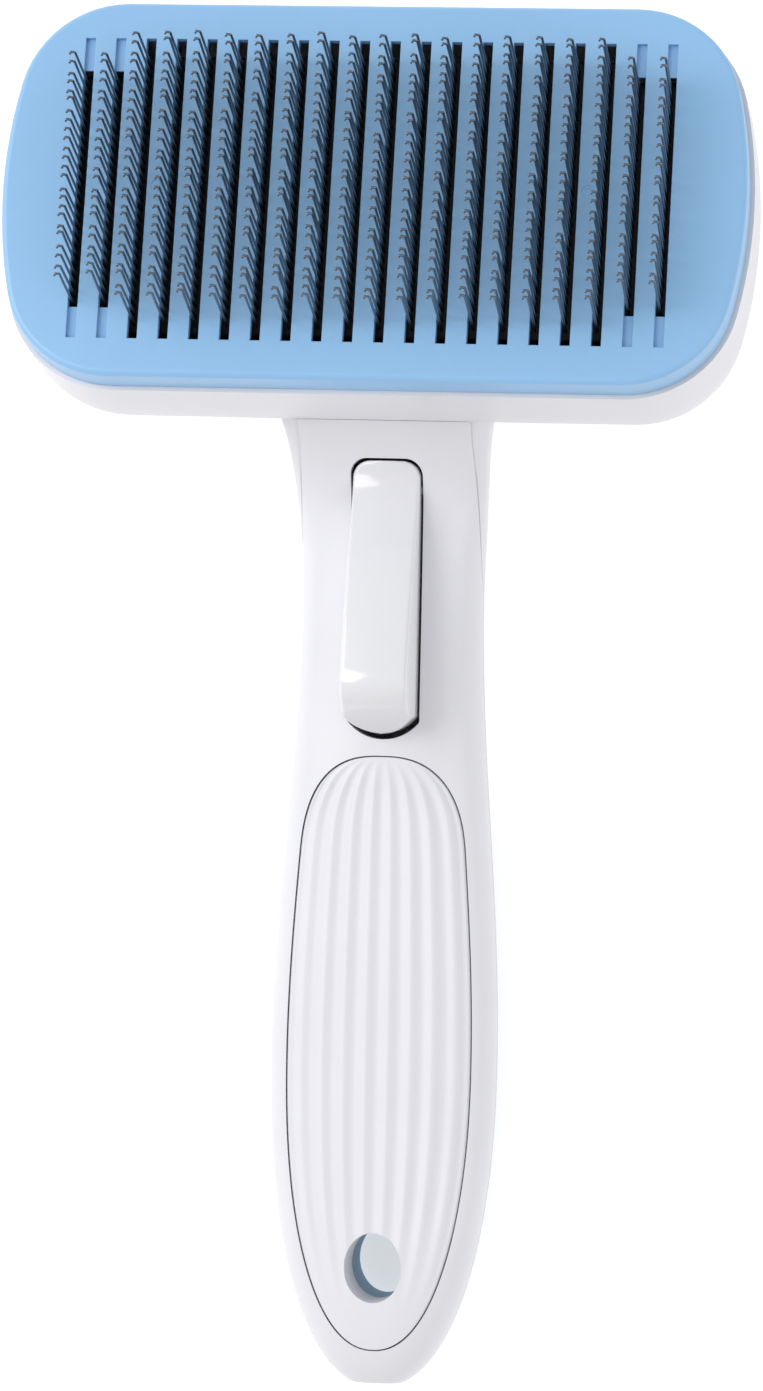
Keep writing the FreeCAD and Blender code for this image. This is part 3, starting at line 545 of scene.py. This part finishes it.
for row in range(ROWS):
    count, first = (12, 15.6) if row in OUTER_ROWS else (14, 18.6)
    x = (row - (ROWS - 1) / 2) * ROW_PITCH + (0.0 if row % 2 else -0.12)
    mesh = bmesh.new()
    for k in range(count):
        shift, pinch = chance.uniform(-0.28, 0.28), chance.uniform(0.0, 0.26)
        for leg in (0, 1):
            y = first - k * STAPLE_PITCH - leg * STAPLE_WIDTH
            reach = WIRE_REACH + chance.uniform(-0.22, 0.0)
            sway = shift + (pinch if leg else -pinch)
            wire_along(mesh, leg_path(x + chance.uniform(-0.04, 0.04), y, sway, reach,
                                      HOOK + chance.uniform(-0.06, 0.02)), WIRE_THICK)
        crown = [Vector((x - FOOT_SHIFT, first - k * STAPLE_PITCH - STAPLE_WIDTH * s, FOOT_DEPTH))
                 for s in (0.0, 1.0)]
        ends = []
        for centre in crown:
            rim = [centre + Vector((math.cos(a), 0, math.sin(a))) * WIRE_THICK
                   for a in (2 * math.pi * j / 8 for j in range(8))]
            ends.append([mesh.verts.new(on_head(*place) * MM) for place in rim])
        for j in range(8):
            mesh.faces.new((ends[0][j], ends[0][(j + 1) % 8], ends[1][(j + 1) % 8], ends[1][j]))
        mesh.faces.new(ends[0][::-1])
        mesh.faces.new(ends[1])
    bmesh.ops.recalc_face_normals(mesh, faces=mesh.faces)
    wires = finished(f"wire_row_{row + 1:02d}", mesh, 60)
    wires.data.materials.append(wire_steel)
    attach(wires, "needle_carrier")
    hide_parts(f"needle_row_{row + 1:02d}")


# ---- face plate ----
# The light blue ABS cover over the front of the head, with a slot for every row of wires. The
# outer two slots on each side are blind at their ends, where the corner posts stand behind.

SLOT_LENGTH, SLOT_OUTER, SLOT_HALF, SKIN, BLIND = 43.5, 34.4, 0.68, 1.2, 0.8
FACE_DEPTH, FACE_WALL, EDGE, POST_RADIUS, POST_DEPTH = 5.6, 1.8, 0.12, 3.2, 21.5
GATE_X, GATE_STEPS = 30.1, ((0.95, 0.0), (0.9, -0.1), (0.56, -0.1), (0.5, -0.02))


def slot_loop(x, low, high, grow=0.0):
    """A slot's rectangle, anticlockwise."""
    half = SLOT_HALF + grow
    return [(x - half, low - grow), (x + half, low - grow), (x + half, high + grow), (x - half, high + grow)]


def disc(x, y, radius, count=28):
    """A circle's points on the face."""
    turns = (2 * math.pi * k / count for k in range(count))
    return [(x + radius * math.cos(a), y + radius * math.sin(a)) for a in turns]


def strip(mesh, rings):
    """Faces between successive rings of vertices."""
    for a, b in zip(rings, rings[1:]):
        for k in range(len(a)):
            j = (k + 1) % len(a)
            mesh.faces.new((a[k], a[j], b[j], b[k]))


def ring_at(mesh, loop, z):
    """New vertices round a loop on the face, at a height out of it."""
    return [mesh.verts.new(on_head(x, y, z) * MM) for x, y in loop]


def fill_between(mesh, rings):
    """A flat face with holes, between closed rings of vertices."""
    edges = []
    for ring in rings:
        for k in range(len(ring)):
            pair = (ring[k], ring[(k + 1) % len(ring)])
            edges.append(mesh.edges.get(pair) or mesh.edges.new(pair))
    bmesh.ops.triangle_fill(mesh, edges=edges, use_beauty=True, normal=OUT)


mesh = bmesh.new()
rounding = [(FACE_ROUND * (1 - math.sin(a)), -FACE_ROUND * (1 - math.cos(a)))
            for a in (math.pi / 2 * k / 6 for k in range(7))]
outside = [ring_at(mesh, head_outline(inset), z) for inset, z in rounding]
outside.append(ring_at(mesh, head_outline(0.0), -FACE_DEPTH + 0.15))
outside.append(ring_at(mesh, head_outline(0.15), -FACE_DEPTH))
outside.append(ring_at(mesh, head_outline(FACE_WALL), -FACE_DEPTH))
outside.append(ring_at(mesh, head_outline(FACE_WALL), -SKIN))
strip(mesh, outside)
front_rings, back_rings = [outside[0]], [outside[-1]]
for row in range(ROWS):
    x = (row - (ROWS - 1) / 2) * ROW_PITCH
    length = SLOT_LENGTH / 2
    lip = [ring_at(mesh, slot_loop(x, -length, length, EDGE), 0.0),
           ring_at(mesh, slot_loop(x, -length, length, EDGE * 0.3), -EDGE * 0.3),
           ring_at(mesh, slot_loop(x, -length, length), -EDGE)]
    front_rings.append(lip[0])
    if row not in OUTER_ROWS:
        lip.append(ring_at(mesh, slot_loop(x, -length, length), -SKIN))
        strip(mesh, lip)
        back_rings.append(lip[-1])
        continue
    reach = SLOT_OUTER / 2
    lip.append(ring_at(mesh, slot_loop(x, -length, length), -BLIND))
    strip(mesh, lip)
    through = [ring_at(mesh, slot_loop(x, -reach, reach), z) for z in (-BLIND, -SKIN)]
    strip(mesh, through)
    fill_between(mesh, [lip[-1], through[0]])
    back_rings.append(through[-1])
for across in (-GATE_X, GATE_X):
    gate = [ring_at(mesh, disc(across, 0.3, radius), z) for radius, z in GATE_STEPS]
    strip(mesh, gate)
    mesh.faces.new(gate[-1])
    front_rings.append(gate[0])
fill_between(mesh, front_rings)
fill_between(mesh, back_rings)
for across in (-POST_X, POST_X):
    for up in (-POST_Y, POST_Y):
        post = [ring_at(mesh, disc(across, up, POST_RADIUS), z) for z in (0.1 - SKIN, -POST_DEPTH)]
        strip(mesh, post)
        mesh.faces.new(post[0])
        mesh.faces.new(post[1])
bmesh.ops.recalc_face_normals(mesh, faces=mesh.faces)
face_plate = finished("slotted_face", mesh, 25)
blue_abs = moulded("blue_abs", (0.25, 0.47, 0.74), 0.36, 0.15, spread=0.015)
face_plate.data.materials.append(blue_abs)
even = face_plate.modifiers.new("even_shading", "WEIGHTED_NORMAL")
even.keep_sharp = True
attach(face_plate, "housing")
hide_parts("face_plate")


# ---- front shell ----
# The white ABS half that closes the front of the handle and neck. It has the trigger's opening,
# and a shallow seat for the grip.

OPENING_TOP, OPENING_END, OPENING_HALF, OPENING_CORNER, OPENING_BOW = 36.8, 76.5, 5.15, 2.4, 2.5


def opening_loop(grow, z):
    """The trigger's opening in plan: small corners at the top, a bowed lower end."""
    half, corner = OPENING_HALF - grow, OPENING_CORNER
    top, low = OPENING_TOP + grow, OPENING_END - grow
    shoulder = low - OPENING_BOW
    loop = []
    for k in range(9):
        angle = math.pi / 2 * k / 8
        loop.append((half - corner + corner * math.cos(angle), top + corner - corner * math.sin(angle)))
    loop += [(-x, at) for x, at in loop[::-1]]
    radius = (half ** 2 + OPENING_BOW ** 2) / (2 * OPENING_BOW)
    sweep = math.asin(half / radius)
    for k in range(17):
        angle = -sweep + 2 * sweep * k / 16
        loop.append((radius * math.sin(angle), shoulder - (radius - OPENING_BOW) + radius * math.cos(angle)))
    return [Vector((x, behind(at), z)) for x, at in loop]


front_shell = handle_blank("handle_front", 0.0, True, gap=0.2, first=20.0)
carve(front_shell, handle_blank("handle_hollow", WALL, None, first=10.0))
carve(front_shell, housing_blank("head_clear", -0.05, 1.0, DOME_BACK))
carve(front_shell, solid_from_loops("trigger_way", [opening_loop(0.0, 2), opening_loop(0.0, 40)]))
carve(front_shell, grip_block("front_seat", True, SEAT_GAP, lambda s, at: 4.0, lambda s, at: SEAT_DEEP))
carve(front_shell, hole_bar("front_hole", SLEEVE_SEAT, -6, 30))
soften(front_shell)
front_shell.data.materials.clear()
front_shell.data.materials.append(white_abs)
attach(front_shell, "housing")
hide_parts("front_shell")


# ---- grips ----
# Two soft-touch inlays in the handle's front and back, ribbed along their length. Each has half
# of the sleeve that lines the hanging hole, so the hole is white in front and blue behind.

FLUTES, FLUTE_DEEP = 0.242, 0.5


def ribs(share, at):
    """How far a grip's surface lies under the handle's, with ribs that fan out of its two ends."""
    fade = min(1.0, max(0.0, (at - 79.6) / 4.0)) * min(1.0, max(0.0, (157.0 - at) / 14.0))
    groove = abs(math.cos(math.pi * share / FLUTES)) ** 1.6
    edge = max(0.0, abs(share) - 0.965) / 0.035
    side = 1 if abs(share) < 0.93 else max(0.0, (1 - abs(share)) / 0.07)
    return -FLUTE_DEEP * groove * fade * side - 0.35 * edge ** 2


def grip(name, node, front, material, sleeve):
    """One inlay with its half of the hole's sleeve, set on the housing."""
    piece = grip_block(name, front, 0.0, ribs, lambda s, at: -1.3, columns=160)
    carve(piece, hole_bar("sleeve", 1.1, sleeve[0], sleeve[1]), "UNION")
    carve(piece, hole_bar("hole", 0.0, -6, 30))
    soften(piece, 40)
    piece.data.materials.clear()
    piece.data.materials.append(material)
    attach(piece, "housing")
    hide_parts(node)


soft_white = moulded("soft_white", (0.70, 0.70, 0.74), 0.46, 0.3, grain_size=2000)
soft_blue = moulded("soft_blue", (0.12, 0.30, 0.45), 0.5, 0.3, grain_size=2000)
grip("fluted_grip", "front_grip", True, soft_white, (8.5, 15.6))
grip("back_grip", "rear_grip", False, soft_blue, (1.4, 8.4))


# ---- trigger ----
# A polished white lever that turns on a pin at its top end and stands proud at its lower end,
# where the finger presses it. It is hollow underneath.

TRIGGER_GAP, TRIGGER_WALL, END_ROOM = 0.35, 1.5, 0.5
EDGE_ROUND, CROWN = 0.65, 0.35
crest = [(37.15, 19.3), (39.0, 18.7), (41.2, 18.95), (45.0, 20.4), (51.0, 23.0), (60.0, 26.2), (67.6, 28.4),
         (69.2, 28.4), (71.4, 26.9), (73.6, 24.0), (75.2, 20.4), (76.2, 16.6)]


def crest_height(at):
    """Height of the trigger's top along its middle."""
    for (a, low), (b, high) in zip(crest, crest[1:]):
        if at <= b:
            share = max(0.0, (at - a) / (b - a))
            return low + (high - low) * share
    return crest[-1][1]


def smooth_crest(at, reach=1.1):
    """The crest's height, evened out over a short length."""
    return sum(crest_height(at + reach * k / 4) for k in range(-4, 5)) / 9


def trigger_half(at, inset=0.0):
    """Half the trigger's width in plan."""
    half, top = OPENING_HALF - TRIGGER_GAP, OPENING_TOP + TRIGGER_GAP
    low = OPENING_END - TRIGGER_GAP - END_ROOM
    corner = OPENING_CORNER
    if at < top + corner:
        drop = corner - (at - top)
        return half - corner + math.sqrt(max(0.0, corner ** 2 - drop ** 2)) - inset
    shoulder = low - OPENING_BOW
    if at > shoulder:
        radius = (half ** 2 + OPENING_BOW ** 2) / (2 * OPENING_BOW)
        drop = at - shoulder + radius - OPENING_BOW
        return math.sqrt(max(0.0, radius ** 2 - drop ** 2)) - inset
    return half - inset


def trigger_row(at, low):
    """One section of the trigger, from its left foot over the top to its right foot."""
    half = max(trigger_half(at), 0.05)
    top = smooth_crest(at)
    shell = surface_height(half, at)
    proud = max(0.0, top - shell)
    lean_in = 0.008 * proud
    flat = max(0.1, half - lean_in - EDGE_ROUND)
    shoulder = top - EDGE_ROUND - CROWN
    right = [(half, low), (half, min(shell, shoulder - 0.05)), (half - lean_in * 0.6, shoulder - 0.02)]
    for k in range(1, 6):
        angle = math.pi / 2 * k / 5
        x = flat + (half - lean_in - flat) * math.cos(angle)
        right.append((x, shoulder + EDGE_ROUND * math.sin(angle)))
    for k in range(1, 7):
        share = 1 - k / 6
        right.append((flat * share, top - CROWN * share ** 2))
    left = [(-x, z) for x, z in right[:-1]]
    return [Vector((x, behind(at), z)) for x, z in left + right[::-1]]


places = [37.16 + 2.4 * (1 - math.cos(math.pi / 2 * k / 8)) for k in range(9)]
places += [39.56 + (73.1 - 39.56) * k / 40 for k in range(1, 40)]
places += [73.1 + (75.64 - 73.1) * math.sin(math.pi / 2 * k / 12) for k in range(13)]
trigger = solid_from_loops("trigger_lever", [trigger_row(at, 12.6) for at in places], 40)
hollow_loops = []
for at, top in ((46.0, 18.2), (51.0, 20.6), (60.0, 23.8), (68.0, 25.8), (71.6, 20.0)):
    half = OPENING_HALF - TRIGGER_GAP - TRIGGER_WALL
    corners = ((-half, 8), (half, 8), (half, top), (-half, top))
    hollow_loops.append([Vector((x, behind(at), z)) for x, z in corners])
carve(trigger, solid_from_loops("trigger_hollow", hollow_loops))
pin_at, pin_height, pin_hole_radius = 41.2, 14.2, 1.05
pin_ends = [Vector((x, behind(pin_at), pin_height)) for x in (-9, 9)]
carve(trigger, bar("pin_hole", pin_ends[0], pin_ends[1], pin_hole_radius))
soften(trigger, 40)
polished_white = moulded("polished_white", (0.71, 0.71, 0.735), 0.16, 0.04, coat=0.4)
trigger.data.materials.clear()
trigger.data.materials.append(polished_white)
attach(trigger, "trigger")
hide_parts("trigger")


# ---- floor, light and camera ----
# A pale light table under the brush, soft light from the left and above, and a camera almost straight
# over it, turned a little so that the head's top edge slopes.

bpy.ops.mesh.primitive_plane_add(size=6.0, location=(0, 0, cad_box[0][2]))
floor = bpy.context.object
floor.name = "floor"
light_table = moulded("light_table", (0.6, 0.6, 0.6), 0.7, 0.0)
light_table.node_tree.nodes["Principled BSDF"].inputs["Emission Color"].default_value = (1, 1, 1, 1)
light_table.node_tree.nodes["Principled BSDF"].inputs["Emission Strength"].default_value = 0.55
floor.data.materials.append(light_table)

world = bpy.data.worlds.new("studio")
bpy.context.scene.world = world
world.use_nodes = True
world.node_tree.nodes["Background"].inputs["Color"].default_value = (1.0, 1.0, 1.0, 1)
world.node_tree.nodes["Background"].inputs["Strength"].default_value = 0.72


def softbox(name, place, size, power, target=Vector((0, 0.02, 0.02))):
    """A large soft lamp turned to the brush."""
    lamp = bpy.data.lights.new(name, "AREA")
    lamp.shape, lamp.size, lamp.size_y, lamp.energy = "RECTANGLE", size[0], size[1], power
    rig = bpy.data.objects.new(name, lamp)
    rig.location = place
    rig.rotation_euler = (target - Vector(place)).to_track_quat("-Z", "Y").to_euler()
    bpy.context.scene.collection.objects.link(rig)


softbox("key", (-0.62, 0.25, 0.72), (0.5, 0.9), 5.5)
softbox("fill", (0.9, -0.2, 0.7), (0.6, 0.8), 2.0)
bpy.context.scene.view_settings.view_transform = "Standard"

TURN, TILT, ROLL, DISTANCE = math.radians(8.52), math.radians(-13.46), math.radians(3.40), 1000.0
back = (Vector((math.sin(TURN) * math.cos(TILT), 0, 0)) + OUT * math.cos(TURN) * math.cos(TILT)
        + UP_FACE * math.sin(TILT))
right = Vector((math.cos(TURN), 0, 0)) - OUT * math.sin(TURN)
up = back.cross(right)
right, up = right * math.cos(ROLL) + up * math.sin(ROLL), up * math.cos(ROLL) - right * math.sin(ROLL)
camera = bpy.data.objects.new("camera", bpy.data.cameras.new("camera"))
camera.data.lens = 187.4
camera.data.sensor_width = 36.0
camera.data.clip_end = 20
spot = Vector((0, FACE_Y, FACE_Z)) + back * DISTANCE + right * 1.36 + up * -69.7
camera.matrix_world = Matrix.LocRotScale(spot * MM, Matrix((right, up, back)).transposed(), None)
bpy.context.scene.collection.objects.link(camera)
bpy.context.scene.camera = camera
